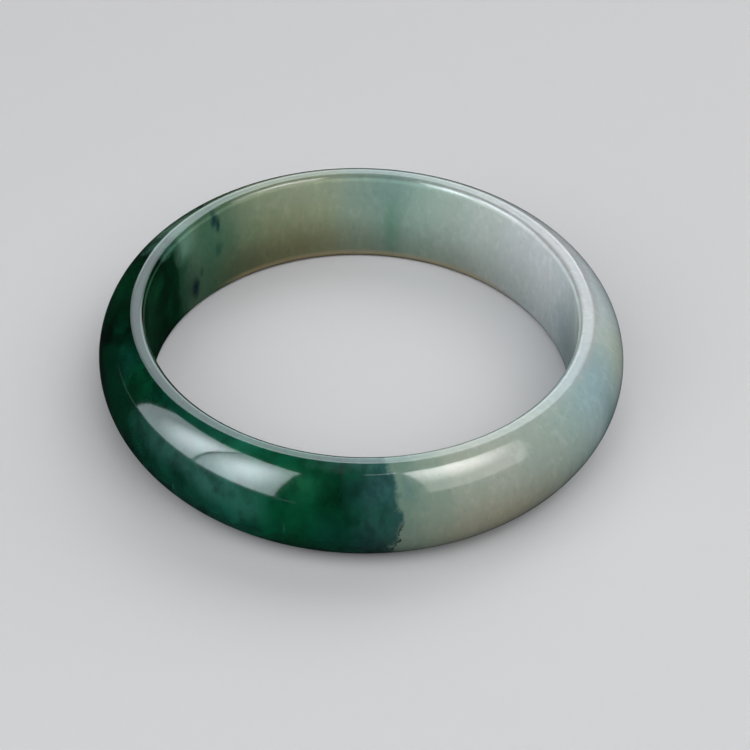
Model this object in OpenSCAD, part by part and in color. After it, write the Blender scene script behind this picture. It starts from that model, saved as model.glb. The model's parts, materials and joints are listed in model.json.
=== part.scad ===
// Plain bangle bracelet: one closed, turned and polished stone ring.
// Millimetres. +Z up, the ring lies flat: its bore runs along Z, its lower rim is at z = 0.
// Origin: centre of the bore, in the plane the ring rests on.

/* [Ring] */
// Inside diameter, the size a bangle is sold by
inner_d = 56; // [50:0.5:64]
// Height of the band, from the lower rim to the upper rim
band_h = 14.5; // [11:0.1:17]
// Thickness of the wall at half height, where the dome stands furthest out
wall_t = 6.4; // [5:0.1:8]

/* [Edges] */
// Width of the rim, from the inner wall to the start of the dome, before the edges are rounded
rim_w = 1.7; // [1.7:0.1:2.3]
// Radius of the rounding along the two inner edges
inner_round = 1; // [0.4:0.05:1]
// Radius that blends each flat rim into the dome
rim_blend = 1.3; // [0.4:0.1:1.4]

/* [Colour] */
// Body colour of the stone in the CAD view
stone_color = [0.56, 0.66, 0.60];

/* [Hidden] */
$fn = 180;
half_h = band_h / 2;
inner_r = inner_d / 2;
outer_r = inner_r + wall_t;
// the dome is never more than a half circle, so a thick wall on a low band widens the rim
dome_start_r = inner_r + max(rim_w, wall_t - half_h);
dome_w = outer_r - dome_start_r;
// the dome is one arc through both rim edges and the widest point
dome_r = (dome_w * dome_w + half_h * half_h) / (2 * dome_w);
dome_x = outer_r - dome_r;
// the blend arc touches the rim line and the dome arc
blend_y = half_h - rim_blend;
blend_x = dome_x + sqrt(max(0, pow(dome_r - rim_blend, 2) - blend_y * blend_y));
blend_a = atan2(blend_y, blend_x - dome_x);
// the inner rounding's centre
edge_x = inner_r + inner_round;
edge_y = half_h - inner_round;
// further out than any part of the section
reach = dome_r * 2;

// Right-hand part of the section: the dome arc between the two blends
module dome_part() {
    far_x = blend_x + reach * cos(blend_a);
    far_y = blend_y + reach * sin(blend_a);
    intersection() {
        translate([dome_x, 0])
            circle(r = dome_r);
        polygon([[blend_x, -blend_y], [far_x, -far_y], [far_x, far_y], [blend_x, blend_y]]);
    }
}

// Blend from the upper rim into the dome
module blend_part() {
    intersection() {
        translate([blend_x, blend_y])
            circle(r = rim_blend);
        polygon([
            [blend_x, blend_y],
            [blend_x + reach * cos(blend_a), blend_y + reach * sin(blend_a)],
            [blend_x, blend_y + reach]
        ]);
    }
}

// Rounding of the upper inner edge
module inner_edge_part() {
    intersection() {
        translate([edge_x, edge_y])
            circle(r = inner_round);
        translate([edge_x - 2 * inner_round, edge_y])
            square([2 * inner_round, 2 * inner_round]);
    }
}

// Straight-sided middle of the section: inner wall, both flat rims
module core_part() {
    polygon([
        [inner_r, -edge_y],
        [edge_x, -edge_y],
        [edge_x, -half_h],
        [blend_x, -half_h],
        [blend_x, half_h],
        [edge_x, half_h],
        [edge_x, edge_y],
        [inner_r, edge_y]
    ]);
}

// Whole section, centred on z = 0
module section() {
    core_part();
    dome_part();
    blend_part();
    mirror([0, 1])
        blend_part();
    inner_edge_part();
    mirror([0, 1])
        inner_edge_part();
}

// The ring itself
module bangle_ring() {
    color(stone_color)
        translate([0, 0, half_h])
            rotate_extrude()
                section();
}

bangle_ring();
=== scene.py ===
import json
from math import atan2, cos, pi, radians, sin, sqrt

import bpy
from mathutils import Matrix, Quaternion, Vector


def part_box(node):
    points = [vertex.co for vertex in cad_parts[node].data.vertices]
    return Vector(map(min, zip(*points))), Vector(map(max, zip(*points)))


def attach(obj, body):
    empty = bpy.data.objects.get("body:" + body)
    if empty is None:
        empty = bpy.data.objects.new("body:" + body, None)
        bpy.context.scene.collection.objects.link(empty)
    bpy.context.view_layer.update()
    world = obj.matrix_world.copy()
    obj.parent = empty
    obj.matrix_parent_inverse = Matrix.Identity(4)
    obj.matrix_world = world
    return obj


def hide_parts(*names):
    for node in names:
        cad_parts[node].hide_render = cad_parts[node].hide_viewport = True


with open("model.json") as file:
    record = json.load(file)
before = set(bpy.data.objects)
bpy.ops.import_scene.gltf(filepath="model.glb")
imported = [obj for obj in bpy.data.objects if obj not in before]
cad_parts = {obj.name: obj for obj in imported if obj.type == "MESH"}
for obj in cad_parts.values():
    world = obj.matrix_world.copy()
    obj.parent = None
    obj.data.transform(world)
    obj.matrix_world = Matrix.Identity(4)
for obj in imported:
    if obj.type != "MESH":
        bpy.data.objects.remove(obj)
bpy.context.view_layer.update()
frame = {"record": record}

# ---------------------------------------------------------------- camera
# A portrait lens that looks down on the ring from the front. It is rolled anticlockwise a little,
# and aimed just in front of the middle of the ring.
MM = 0.001
ring_low, ring_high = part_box("bangle_ring")
band_h = ring_high.z - ring_low.z
outer_r = (ring_high.x - ring_low.x) / 2
ring_centre = Vector((0, 0, band_h / 2))

camera_gap = 238.5 * MM
camera_down = radians(40.8)
camera_roll = radians(1.7)
camera_aim = ring_centre + Vector((1.8, -5.9, 0)) * MM

camera_data = bpy.data.cameras.new("camera")
camera_data.lens = 86.7
camera_data.clip_start = 0.01
camera_data.clip_end = 20
camera = bpy.data.objects.new("camera", camera_data)
bpy.context.scene.collection.objects.link(camera)
camera.location = ring_centre + Vector((0, -cos(camera_down), sin(camera_down))) * camera_gap
camera.rotation_mode = "QUATERNION"
camera_look = (camera_aim - camera.location).to_track_quat("-Z", "Y")
camera.rotation_quaternion = camera_look @ Quaternion((0, 0, 1), camera_roll)
bpy.context.scene.camera = camera
bpy.context.scene.view_settings.view_transform = "Standard"


# ---------------------------------------------------------------- floor and lights
# A plain pale floor runs out to a pale backdrop. Soft boxes whose only work is the shine stand
# where the polish mirrors them, and broad fill lights that it doesn't mirror do the lighting.
def clear_selection():
    """Leaves nothing selected, as an operator acts on all that is."""
    bpy.ops.object.select_all(action="DESELECT")


def linear(*channels):
    """A colour from 0 to 255 a channel, as linear light."""
    shares = [channel / 255 for channel in channels]
    light = [share / 12.92 if share < 0.04045 else ((share + 0.055) / 1.055) ** 2.4
             for share in shares]
    return (*light, 1.0)


# metres: the floor's width, the backdrop's radius, height and middle, and where along the floor
# its own glow starts and is full
floor_width = 6
backdrop_r = 2.9
backdrop_h = 3
backdrop_middle = 1.4
glow_start = 0.45
glow_full = 1.3
far_glow = linear(196, 197, 200)

clear_selection()
bpy.ops.mesh.primitive_plane_add(size=floor_width, location=(0, 0, 0))
floor = bpy.context.object
floor.name = "studio_floor"
floor_material = bpy.data.materials.new("pale_matt_paper")
floor_material.use_nodes = True
floor_nodes = floor_material.node_tree.nodes
floor_links = floor_material.node_tree.links
floor_shader = floor_nodes["Principled BSDF"]
floor_shader.inputs["Base Color"].default_value = linear(176, 176, 178)
floor_shader.inputs["Roughness"].default_value = 0.8
floor_shader.inputs["Specular IOR Level"].default_value = 0.2
# past the reach of the lamps the floor glows like the backdrop, so that the two run into each other
floor_place = floor_nodes.new("ShaderNodeTexCoord")
floor_gap = floor_nodes.new("ShaderNodeVectorMath")
floor_gap.operation = "LENGTH"
floor_links.new(floor_place.outputs["Object"], floor_gap.inputs[0])
floor_glow = floor_nodes.new("ShaderNodeMapRange")
floor_glow.interpolation_type = "SMOOTHSTEP"
floor_glow.inputs["From Min"].default_value = glow_start
floor_glow.inputs["From Max"].default_value = glow_full
floor_links.new(floor_gap.outputs["Value"], floor_glow.inputs["Value"])
floor_links.new(floor_glow.outputs["Result"], floor_shader.inputs["Emission Strength"])
floor_shader.inputs["Emission Color"].default_value = far_glow
floor.data.materials.append(floor_material)
floor.visible_glossy = False

# the backdrop runs all the way round, lit by its own glow, and only the camera sees it
clear_selection()
bpy.ops.mesh.primitive_cylinder_add(vertices=96, radius=backdrop_r, depth=backdrop_h,
                                    end_fill_type="NOTHING", location=(0, 0, backdrop_middle))
backdrop = bpy.context.object
backdrop.name = "studio_backdrop"
backdrop_material = bpy.data.materials.new("pale_backdrop")
backdrop_material.use_nodes = True
backdrop_shader = backdrop_material.node_tree.nodes["Principled BSDF"]
backdrop_shader.inputs["Base Color"].default_value = linear(0, 0, 0)
backdrop_shader.inputs["Specular IOR Level"].default_value = 0
backdrop_shader.inputs["Emission Color"].default_value = far_glow
backdrop_shader.inputs["Emission Strength"].default_value = 1
backdrop.data.materials.append(backdrop_material)
backdrop.visible_glossy = False
backdrop.visible_diffuse = False
backdrop.visible_shadow = False

# past it the studio is dim
world = bpy.data.worlds.new("dim_studio")
world.use_nodes = True
bpy.context.scene.world = world
dim_air = world.node_tree.nodes["Background"]
dim_air.inputs["Color"].default_value = linear(205, 210, 220)
dim_air.inputs["Strength"].default_value = 0.012

cool_white = (0.84, 0.93, 1.0)
warm_white = (1.0, 0.97, 0.97)
plain_white = (1.0, 1.0, 1.0)


def way(azimuth, elevation):
    """The direction at an azimuth, anticlockwise from +X, and an elevation, in degrees."""
    turn = radians(azimuth)
    tilt = radians(elevation)
    return Vector((cos(tilt) * cos(turn), cos(tilt) * sin(turn), sin(tilt)))


def lamp(name, place, facing, width, height, glow, colour):
    """A flat lamp at a place, with the way it faces, its size in metres and how bright it looks."""
    light = bpy.data.lights.new(name, "AREA")
    light.color = colour
    light.shape = "RECTANGLE"
    light.size = width
    light.size_y = height
    light.energy = glow * pi * width * height
    lit = bpy.data.objects.new(name, light)
    bpy.context.scene.collection.objects.link(lit)
    lit.location = place
    lit.rotation_mode = "QUATERNION"
    lit.rotation_quaternion = facing.to_track_quat("-Z", "Y")
    lit.visible_camera = False
    return lit


def soft_box(name, place, facing, width, height, spot, spot_glow, edge_glow, colour=cool_white):
    """A lamp that only shows in the polish. spot is where on its cloth the bulb behind it shows,
    as shares of its width and height, and the glows are how bright it looks there and far away
    from there."""
    lit = lamp(name, place, facing, width, height, 1, colour)
    lit.visible_diffuse = False
    lit.data.use_nodes = True
    tree = lit.data.node_tree
    cloth = tree.nodes.new("ShaderNodeNewGeometry")
    away = tree.nodes.new("ShaderNodeVectorMath")
    away.operation = "DISTANCE"
    away.inputs[1].default_value = (*spot, 0)
    tree.links.new(cloth.outputs["Parametric"], away.inputs[0])
    fall = tree.nodes.new("ShaderNodeMapRange")
    fall.interpolation_type = "SMOOTHSTEP"
    fall.inputs["From Max"].default_value = 0.6
    fall.inputs["To Min"].default_value = spot_glow
    fall.inputs["To Max"].default_value = edge_glow
    tree.links.new(away.outputs["Value"], fall.inputs["Value"])
    tree.links.new(fall.outputs["Result"], tree.nodes["Emission"].inputs["Strength"])


# metres from the ring to the lamps at the sides, behind it and all round
side_gap = 0.6
behind_gap = 0.7
fill_gap = 0.8
fill_size = 0.6
on_middle = (0.5, 0.5)

# a tall pair hangs in one upright frame at the left, with a narrow gap between the two, and the
# frame's lower rail catches a little light
left_wall = way(225, 0)
left_along = way(315, 0)
left_middle = left_wall * side_gap
up = Vector((0, 0, 1))
soft_box("soft_box_left_back", left_middle - left_along * 0.513 + up * 0.51, -left_wall,
         0.565, 0.82, (0.85, 0.48), 9.5, 2.8)
soft_box("soft_box_left_front", left_middle - left_along * 0.034 + up * 0.51, -left_wall,
         0.36, 0.82, (0.50, 0.42), 10.5, 3.4)
soft_box("rail_left", left_middle - left_along * 0.8 + up * 0.082, -left_wall,
         2.1, 0.008, on_middle, 1.6, 1.2)

# a low rail stands at the far right, and a box and a narrow strip at the front right
soft_box("rail_right", way(22, 0) * side_gap + up * 0.012, -way(22, 0),
         0.8, 0.006, on_middle, 3.0, 1.2)
soft_box("soft_box_right", ring_centre + way(327, 41.5) * side_gap, -way(299, 34),
         0.44, 0.40, (0.32, 0.84), 8.5, 1.6, warm_white)
soft_box("soft_box_right_lip", ring_centre + way(284, 65) * side_gap, -way(284, 65),
         0.09, 0.014, (1.0, 0.5), 6.0, 2.0)

# three wide boxes one above the other light up the rims and the bore from behind
for name, elevation, wide, tall, spot_glow, edge_glow in (
        ("soft_box_behind", 44, 1.0, 0.62, 2.9, 1.3),
        ("soft_box_behind_low", 20, 0.7, 0.3, 2.6, 1.9),
        ("soft_box_behind_high", 60, 1.0, 0.2, 1.9, 0.8)):
    soft_box(name, ring_centre + way(90, elevation) * behind_gap, -way(90, elevation),
             wide, tall, on_middle, spot_glow, edge_glow)

for name, azimuth, elevation, glow in (
        ("fill_left", 215, 42, 2.6), ("fill_left_low", 232, 24, 0.6), ("fill_right", 310, 50, 3.0),
        ("fill_front", 268, 58, 2.2), ("fill_behind", 80, 55, 1.9), ("fill_far_right", 32, 40, 2.3)):
    fill = lamp(name, ring_centre + way(azimuth, elevation) * fill_gap, -way(azimuth, elevation),
                fill_size, fill_size, glow, plain_white)
    fill.visible_glossy = False

# ---------------------------------------------------------------- bangle ring
# The whole bangle is one closed ring of jade, sawn and drilled from a single block, ground to a
# domed band with two narrow flat rims, and polished by hand. Deep green runs round its left side
# and ends at a healed crack in front, and the rest is a pale grey-green.
mounts = {mount["name"]: mount for mount in frame["record"]["mounts"]}
bore_r = mounts["wrist_bore"]["dims"]["r_mm"] * MM
rim_w = 1.7 * MM
inner_round = 1.0 * MM
rim_blend = 1.3 * MM

# the dome is one arc through both rim edges and the widest point, and the blend touches it
half_h = band_h / 2
dome_w = outer_r - bore_r - rim_w
dome_r = (dome_w**2 + half_h**2) / (2 * dome_w)
dome_x = outer_r - dome_r
blend_z = half_h - rim_blend
blend_x = dome_x + sqrt((dome_r - rim_blend) ** 2 - blend_z**2)
blend_a = atan2(blend_z, blend_x - dome_x)
edge_x = bore_r + inner_round
edge_z = half_h - inner_round

wall_steps = 14
edge_steps = 14
rim_steps = 2
blend_steps = 7
dome_steps = 64
ring_steps = 540
merge_gap = 0.001 * MM


def line_on(dx, dz, steps):
    """Carries the outline on in a straight line from its last point."""
    for _ in range(steps):
        bpy.ops.mesh.extrude_vertices_move(TRANSFORM_OT_translate={"value": (dx / steps, 0, dz / steps)})


def arc_on(x, z, turn, steps):
    """Carries the outline on from its last point, round a centre at x, z, clockwise by turn."""
    bpy.ops.mesh.spin(steps=steps, angle=turn, center=(x, 0, half_h + z), axis=(0, -1, 0))


clear_selection()
bpy.ops.mesh.primitive_plane_add(size=MM, location=(bore_r, 0, half_h))
ring = bpy.context.object
ring.name = "jade_ring"
bpy.ops.object.transform_apply(location=True)
bpy.ops.object.mode_set(mode="EDIT")
bpy.ops.mesh.select_all(action="SELECT")
bpy.ops.mesh.merge(type="CENTER")
# up the inner wall, over the upper rim, round the dome, under the lower rim and up again
line_on(0, edge_z, wall_steps)
arc_on(edge_x, edge_z, pi / 2, edge_steps)
line_on(blend_x - edge_x, 0, rim_steps)
arc_on(blend_x, blend_z, pi / 2 - blend_a, blend_steps)
arc_on(dome_x, 0, 2 * blend_a, dome_steps)
arc_on(blend_x, -blend_z, pi / 2 - blend_a, blend_steps)
line_on(edge_x - blend_x, 0, rim_steps)
arc_on(edge_x, -edge_z, pi / 2, edge_steps)
line_on(0, edge_z, wall_steps)
bpy.ops.mesh.select_all(action="SELECT")
bpy.ops.mesh.remove_doubles(threshold=merge_gap)
# the outline goes once round the bore
bpy.ops.mesh.select_all(action="SELECT")
bpy.ops.mesh.spin(steps=ring_steps, angle=2 * pi, center=(0, 0, 0), axis=(0, 0, 1))
bpy.ops.mesh.select_all(action="SELECT")
bpy.ops.mesh.remove_doubles(threshold=merge_gap)
bpy.ops.mesh.normals_make_consistent(inside=False)
bpy.ops.object.mode_set(mode="OBJECT")
bpy.ops.object.shade_smooth()

# The stone's colour follows the angle round the ring, in degrees anticlockwise from +X. It is
# counted once round from a quiet olive stretch at the back left, so it runs on past 360.
olive_angle = 110
green_side = [
    (110, (108, 116, 92)), (120, (102, 111, 86)), (127, (90, 104, 82)), (133, (68, 88, 68)),
    (140, (54, 79, 61)), (147, (64, 88, 70)), (152, (30, 62, 44)), (156, (1, 30, 13)),
    (163, (0, 20, 7)), (171, (0, 32, 11)), (178, (1, 32, 15)), (184, (0, 18, 8)),
    (190, (0, 15, 6)), (196, (1, 28, 17)), (202, (2, 40, 25)), (209, (1, 36, 19)),
    (216, (2, 43, 29)), (226, (7, 54, 41)), (236, (13, 62, 49)), (245, (18, 78, 64)),
    (250, (6, 70, 48)), (256, (2, 62, 38)), (262, (2, 58, 36)), (267, (4, 46, 32)),
    (270, (20, 58, 52)), (274, (34, 70, 66)), (282, (40, 74, 70)),
]
pale_side = [
    (270, (94, 120, 108)), (280, (100, 120, 108)), (286, (118, 134, 121)), (292, (134, 143, 131)),
    (301, (141, 148, 138)), (312, (134, 146, 137)), (322, (134, 150, 143)), (332, (138, 156, 155)),
    (342, (135, 153, 153)), (352, (155, 168, 164)), (364, (159, 170, 171)), (376, (160, 171, 174)),
    (388, (162, 169, 171)), (400, (150, 158, 158)), (412, (143, 153, 150)), (424, (127, 142, 136)),
    (434, (116, 136, 128)), (442, (102, 124, 116)), (452, (108, 124, 112)), (462, (112, 121, 99)),
    (470, (108, 115, 91)),
]

# Clouds, veins and spots in the stone: angle and height of the middle in degrees and mm, half
# width and half height in the same, how soft the edge is, how strong it is, and its colour.
patches = [
    # grey clouds and green blotches in the green stretch, and a painted reflection under the left
    # highlight
    (150.5, 12.6, 3.6, 2.2, 0.9, 0.8, (84, 114, 100)),
    (138, 10.2, 7.0, 3.4, 0.9, 0.6, (54, 86, 70)),
    (148, 4.5, 3.6, 4.0, 1.0, 0.5, (24, 44, 36)),
    (158.5, 14.0, 3.0, 0.7, 0.9, 0.6, (60, 100, 86)),
    (170, 10.8, 3.5, 1.8, 0.9, 0.9, (7, 50, 22)),
    (201, 13.3, 4.0, 0.8, 0.9, 0.5, (10, 60, 50)),
    (178, 9.0, 4.5, 4.0, 0.9, 0.6, (6, 52, 32)),
    (222, 9.6, 8.0, 1.7, 0.9, 0.5, (24, 70, 61)),
    # painted reflection: a teal haze just under the left highlight, the soft boxes' glow in the polish
    # painted into the colour
    (231, 11.0, 12.0, 1.3, 1.0, 0.7, (50, 90, 83)),
    (241, 9.6, 6.0, 1.4, 1.0, 0.7, (52, 100, 92)),
    (247, 8.4, 3.4, 1.8, 1.0, 0.5, (44, 94, 84)),
    (244, 13.6, 9.0, 0.8, 0.9, 0.7, (14, 76, 50)),
    (258, 10.0, 3.0, 5.0, 0.9, 0.7, (5, 66, 42)),
    (266, 10.8, 3.2, 3.0, 1.0, 0.75, (1, 36, 18)),
    (259, 4.0, 4.0, 3.4, 1.0, 0.6, (3, 40, 22)),
    (265, 6.5, 4.0, 2.4, 1.0, 0.5, (12, 64, 52)),
    (274.5, 12.7, 2.6, 1.2, 0.9, 0.8, (48, 88, 90)),
    (272, 6.4, 1.2, 1.8, 1.0, 0.7, (16, 46, 44)),
    (275, 4.6, 1.6, 1.6, 1.0, 0.6, (20, 44, 42)),
    (273, 3.0, 4.0, 2.6, 1.0, 0.5, (24, 46, 42)),
    (280.6, 12.7, 2.0, 1.3, 0.9, 0.7, (84, 112, 106)),
    # dark mineral spots
    (236.7, 4.4, 0.6, 1.1, 0.9, 0.7, (4, 18, 20)),
    (137.6, 13.0, 1.2, 1.2, 0.7, 0.95, (6, 40, 42)),
    (136.2, 11.8, 0.9, 1.1, 0.7, 0.95, (6, 44, 40)),
    (136.3, 7.7, 1.2, 1.0, 0.9, 0.75, (28, 66, 54)),
    (146.6, 3.6, 1.4, 1.4, 0.8, 0.95, (10, 28, 36)),
    (143.6, 5.6, 0.9, 0.6, 0.9, 0.6, (30, 50, 42)),
    (266.4, 14.1, 0.5, 0.35, 0.8, 0.8, (30, 26, 18)),
    (267.0, 13.4, 0.25, 0.7, 0.9, 0.2, (40, 50, 34)),
    (269.4, 8.1, 0.3, 0.4, 0.9, 0.35, (46, 62, 44)),
    (238.0, 13.4, 0.6, 0.8, 0.9, 0.7, (8, 30, 24)),
    # pale wisps
    (255.1, 6.9, 0.35, 0.9, 0.9, 0.3, (60, 116, 92)),
    (258, 12.6, 4.5, 1.0, 1.0, 0.2, (40, 110, 74)),
    (210.2, 5.9, 0.3, 1.0, 0.9, 0.5, (60, 112, 100)),
    (219.7, 4.9, 0.25, 0.7, 0.9, 0.5, (66, 116, 104)),
    (229.0, 5.0, 0.3, 1.1, 0.9, 0.5, (66, 116, 104)),
    # warm, teal and lavender clouds in the pale stretch
    (301, 5.6, 14.0, 3.4, 1.0, 0.7, (137, 132, 112)),
    (336, 12.6, 11.0, 2.0, 1.0, 0.6, (124, 150, 156)),
    (337, 6.8, 3.0, 3.4, 1.0, 0.6, (104, 130, 130)),
    (350, 11.0, 7.0, 2.4, 1.0, 0.6, (156, 166, 150)),
    (370, 5.0, 8.0, 4.6, 1.0, 0.45, (100, 118, 124)),
    (388, 11.5, 12.0, 4.0, 1.0, 0.6, (166, 171, 174)),
    (446, 12.4, 10.0, 2.8, 1.0, 0.6, (84, 110, 106)),
    # the rim is milkier over the end of the green, and whiter at the far right
    (269, 14.5, 9.0, 0.4, 1.0, 0.4, (60, 98, 92)),
    (376, 14.5, 45.0, 0.4, 1.0, 0.7, (150, 149, 149)),
    # a green vein, then brown low down, darker there also as painted shade, and grey above in the olive
    # stretch, where a cloud that crosses the start of the angle is laid once at either end of the count
    (442.4, 6.2, 2.0, 3.6, 1.0, 0.8, (80, 114, 98)),
    (470, 2.4, 15.0, 3.4, 1.0, 0.65, (84, 80, 56)),
    (110, 2.4, 15.0, 3.4, 1.0, 0.65, (84, 80, 56)),
    (127, 2.2, 8.0, 3.4, 1.0, 0.4, (60, 58, 40)),
    (470, 12.6, 16.0, 2.6, 1.0, 0.5, (110, 120, 108)),
    (110, 12.6, 16.0, 2.6, 1.0, 0.5, (110, 120, 108)),
]
# The healed crack where the green ends: its angle at its middle and how far its ends fall back
# from there, in degrees, then the height of its middle and half its height, in mm.
crack_angle = 278.8
crack_bow = 2.4
crack_middle = 9.5
crack_half_h = 5.0

jade = bpy.data.materials.new("jade")
jade.use_nodes = True
nodes = jade.node_tree.nodes
links = jade.node_tree.links
jade_shader = nodes["Principled BSDF"]


def feed(socket, value):
    """Sets a node's input, from another node's output or from a plain value."""
    if isinstance(value, bpy.types.NodeSocket):
        socket.id_data.links.new(value, socket)
    else:
        socket.default_value = value


def calculate(operation, *values):
    """One step of arithmetic on values that change over the stone."""
    step = nodes.new("ShaderNodeMath")
    step.operation = operation
    for socket, value in zip(step.inputs, values):
        feed(socket, value)
    return step.outputs[0]


def times(first, *others):
    """Values multiplied together."""
    for other in others:
        first = calculate("MULTIPLY", first, other)
    return first


def plus(first, *others):
    """Values added together."""
    for other in others:
        first = calculate("ADD", first, other)
    return first


def minus(one, other):
    """One value less another."""
    return calculate("SUBTRACT", one, other)


def rise(value, start, end):
    """0 at start, 1 at end, and a smooth rise between them, whichever of the two is higher."""
    step = nodes.new("ShaderNodeMapRange")
    step.interpolation_type = "SMOOTHSTEP"
    feed(step.inputs["Value"], value)
    step.inputs["From Min"].default_value = start
    step.inputs["From Max"].default_value = end
    return step.outputs["Result"]


def grain(size, stretch, detail, seed):
    """Cloudy noise from 0 to 1 with lumps of about size mm, drawn out up the ring by stretch."""
    place = nodes.new("ShaderNodeMapping")
    feed(place.inputs["Vector"], stone_mm)
    place.inputs["Scale"].default_value = (1 / size, 1 / size, 1 / size / stretch)
    place.inputs["Location"].default_value = (seed * 7.3, seed * 3.1, seed * 5.7)
    noise = nodes.new("ShaderNodeTexNoise")
    noise.inputs["Scale"].default_value = 1
    noise.inputs["Detail"].default_value = detail
    links.new(place.outputs["Vector"], noise.inputs["Vector"])
    return noise.outputs["Fac"]


def wander(swing, size, stretch, detail, seed):
    """The same noise round 0, half of swing at the most to either side."""
    return times(minus(grain(size, stretch, detail, seed), 0.5), swing)


def tint(mask, under, colour, blend="MIX"):
    """Lays a colour over another where the mask says."""
    step = nodes.new("ShaderNodeMix")
    step.data_type = "RGBA"
    step.blend_type = blend
    feed(step.inputs["Factor"], mask)
    feed(step.inputs["A"], under)
    feed(step.inputs["B"], colour)
    return step.outputs["Result"]


def band(stops):
    """Colours at their angles round the ring."""
    first = stops[0][0]
    last = stops[-1][0]
    ramp = nodes.new("ShaderNodeValToRGB")
    ramp.color_ramp.interpolation = "EASE"
    elements = ramp.color_ramp.elements
    elements[0].color = linear(*stops[0][1])
    elements[1].color = linear(*stops[-1][1])
    for angle, colour in stops[1:-1]:
        elements.new((angle - first) / (last - first)).color = linear(*colour)
    spread = nodes.new("ShaderNodeMapRange")
    spread.inputs["From Min"].default_value = first
    spread.inputs["From Max"].default_value = last
    links.new(stone_angle, spread.inputs["Value"])
    links.new(spread.outputs["Result"], ramp.inputs["Fac"])
    return ramp.outputs["Color"]


def patch_group():
    """A node group: how far inside a soft-edged oval patch a place on the ring is."""
    group = bpy.data.node_groups.new("stone_patch", "ShaderNodeTree")
    for name in ("Angle", "Height", "Middle angle", "Middle height",
                 "Half width", "Half height", "Softness"):
        group.interface.new_socket(name, in_out="INPUT", socket_type="NodeSocketFloat")
    group.interface.new_socket("Mask", in_out="OUTPUT", socket_type="NodeSocketFloat")
    start = group.nodes.new("NodeGroupInput").outputs
    end = group.nodes.new("NodeGroupOutput").inputs

    def step(operation, one, two):
        made = group.nodes.new("ShaderNodeMath")
        made.operation = operation
        feed(made.inputs[0], one)
        feed(made.inputs[1], two)
        return made.outputs[0]

    across = step("DIVIDE", step("SUBTRACT", start["Angle"], start["Middle angle"]),
                  start["Half width"])
    along = step("DIVIDE", step("SUBTRACT", start["Height"], start["Middle height"]),
                 start["Half height"])
    far = step("POWER", step("ADD", step("MULTIPLY", across, across),
                             step("MULTIPLY", along, along)), 0.5)
    fade = group.nodes.new("ShaderNodeMapRange")
    fade.interpolation_type = "SMOOTHSTEP"
    feed(fade.inputs["Value"], far)
    feed(fade.inputs["From Min"], step("ADD", 1.0, start["Softness"]))
    feed(fade.inputs["From Max"], step("SUBTRACT", 1.0, start["Softness"]))
    group.links.new(fade.outputs["Result"], end["Mask"])
    return group


# places in the stone, in mm, turned so that the olive stretch is where the angle starts again
coordinates = nodes.new("ShaderNodeTexCoord")
turned = nodes.new("ShaderNodeMapping")
turned.inputs["Scale"].default_value = (1 / MM, 1 / MM, 1 / MM)
turned.inputs["Rotation"].default_value = (0, 0, -radians(olive_angle + 180))
links.new(coordinates.outputs["Object"], turned.inputs["Vector"])
stone_mm = turned.outputs["Vector"]
stone_parts = nodes.new("ShaderNodeSeparateXYZ")
links.new(stone_mm, stone_parts.inputs["Vector"])
stone_x = stone_parts.outputs["X"]
stone_y = stone_parts.outputs["Y"]
height = stone_parts.outputs["Z"]
radius = calculate("SQRT", plus(times(stone_x, stone_x), times(stone_y, stone_y)))
true_angle = plus(times(calculate("ARCTAN2", stone_y, stone_x), 180 / pi), olive_angle + 180)

# the growth of the stone bends every band and patch a little, by degrees and by mm
sway = wander(9, size=5, stretch=2, detail=3, seed=1)
shiver = wander(3, size=1.2, stretch=1.5, detail=4, seed=2)
stone_angle = plus(true_angle, sway, shiver)
patch_angle = plus(true_angle, times(sway, 0.25), times(shiver, 0.7))
patch_height = plus(height, wander(1.1, size=1.6, stretch=1, detail=4, seed=3))

# how many degrees past the crack's own jagged line a place is, and the stone on its two sides
from_middle = calculate("DIVIDE", minus(height, crack_middle), crack_half_h)
fall_back = calculate("MAXIMUM", times(from_middle, from_middle, -crack_bow), -crack_bow)
jag = wander(6, size=1.6, stretch=1, detail=5, seed=4)
past_crack = minus(plus(true_angle, jag), plus(fall_back, crack_angle))
colour = tint(rise(past_crack, -0.9, 0.8), band(green_side), band(pale_side))

patch_nodes = patch_group()
for middle_angle, middle_height, half_width, half_height, softness, strength, shade in patches:
    patch = nodes.new("ShaderNodeGroup")
    patch.node_tree = patch_nodes
    for name, value in (("Angle", patch_angle), ("Height", patch_height),
                        ("Middle angle", middle_angle), ("Middle height", middle_height),
                        ("Half width", half_width), ("Half height", half_height),
                        ("Softness", softness)):
        feed(patch.inputs[name], value)
    colour = tint(times(patch.outputs["Mask"], strength), colour, linear(*shade))

# clouds of brighter and darker green in the green stretch
in_green = times(minus(1.0, rise(past_crack, -2.0, 0.5)), rise(stone_angle, 150, 162))
bright_clouds = rise(grain(size=2.6, stretch=1.3, detail=4, seed=11), 0.42, 0.74)
colour = tint(times(in_green, bright_clouds, 0.3), colour, linear(6, 78, 50))
dark_clouds = rise(grain(size=2.2, stretch=1.3, detail=4, seed=12), 0.42, 0.7)
colour = tint(times(in_green, dark_clouds, 0.5), colour, linear(0, 24, 12))

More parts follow.
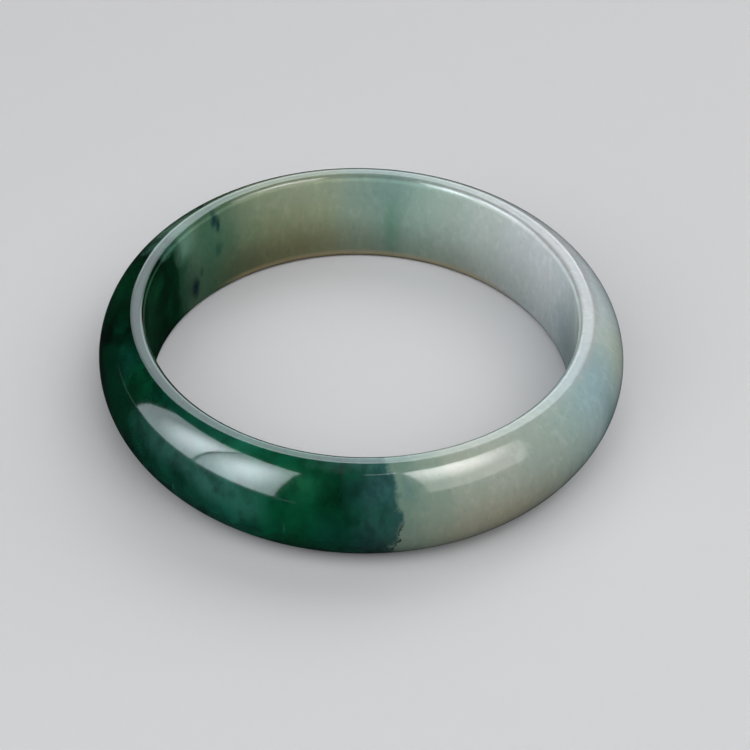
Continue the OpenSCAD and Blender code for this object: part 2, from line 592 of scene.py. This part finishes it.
# fine cotton and fibres in all of the stone, lighter and darker than what is round them
cotton = rise(grain(size=1.0, stretch=1.6, detail=5, seed=5), 0.48, 0.72)
colour = tint(times(cotton, 0.2), colour, (1.6, 1.5, 1.5, 1), "MULTIPLY")
fibres = rise(grain(size=0.7, stretch=1.8, detail=5, seed=6), 0.5, 0.8)
colour = tint(times(fibres, 0.3), colour, (0.55, 0.65, 0.6, 1), "MULTIPLY")

# painted light: along the bore the colour is lifted towards the upper rim, for the light that comes down
# through the stone
painted_light_up_bore = times(rise(radius, 28.3, 28.03), rise(height, -1, 15))
colour = tint(painted_light_up_bore, colour, (2.0, 1.96, 1.96, 1), "MULTIPLY")

# painted shade: lower down the back of the bore the colour is made darker and warmer, for the less
# light that comes through the stone there, and along its bottom edge it is lighter and creamier
painted_shade_low_bore = times(rise(radius, 28.6, 28.1), rise(height, 8, 1))
behind = times(rise(true_angle, 395, 425), rise(true_angle, 464, 444))
colour = tint(times(painted_shade_low_bore, behind), colour, (0.84, 0.78, 0.74, 1), "MULTIPLY")
# a lighter, creamier line along the bottom edge at the back of the bore
bottom_edge = times(rise(radius, 29.2, 28.6), rise(height, 1.7, 0.9))
cream_edge_span = calculate("MAXIMUM", rise(true_angle, 395, 415), rise(true_angle, 140, 126))
colour = tint(times(bottom_edge, cream_edge_span, 0.6), colour, linear(142, 126, 98))

# the healed crack: a thin dark line up its lower half, broken where it closes up
on_crack = rise(calculate("ABSOLUTE", minus(past_crack, 0.3)), 0.55, 0.1)
open_crack = times(rise(grain(size=1.1, stretch=1.4, detail=2, seed=7), 0.33, 0.44),
                   rise(height, 9.6, 7.6))
colour = tint(times(on_crack, open_crack, 0.85), colour, linear(20, 24, 20))
feed(jade_shader.inputs["Base Color"], colour)

# the polish: nearly flat, with the faint waves of a hand-held wheel, and duller in places
surface = nodes.new("ShaderNodeBump")
surface.inputs["Strength"].default_value = 1
surface.inputs["Distance"].default_value = 0.02 * MM
feed(surface.inputs["Height"], grain(size=4.5, stretch=1, detail=1, seed=8))
feed(jade_shader.inputs["Normal"], surface.outputs["Normal"])
dullness = times(grain(size=1.5, stretch=1, detail=4, seed=10), 0.06)
feed(jade_shader.inputs["Roughness"], plus(dullness, 0.045))
jade_shader.inputs["IOR"].default_value = 1.66
jade_shader.inputs["Subsurface Weight"].default_value = 0.5
jade_shader.inputs["Subsurface Radius"].default_value = (1.0, 1.0, 1.0)
jade_shader.inputs["Subsurface Scale"].default_value = 2.0 * MM
ring.data.materials.append(jade)

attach(ring, "root")
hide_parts("bangle_ring")
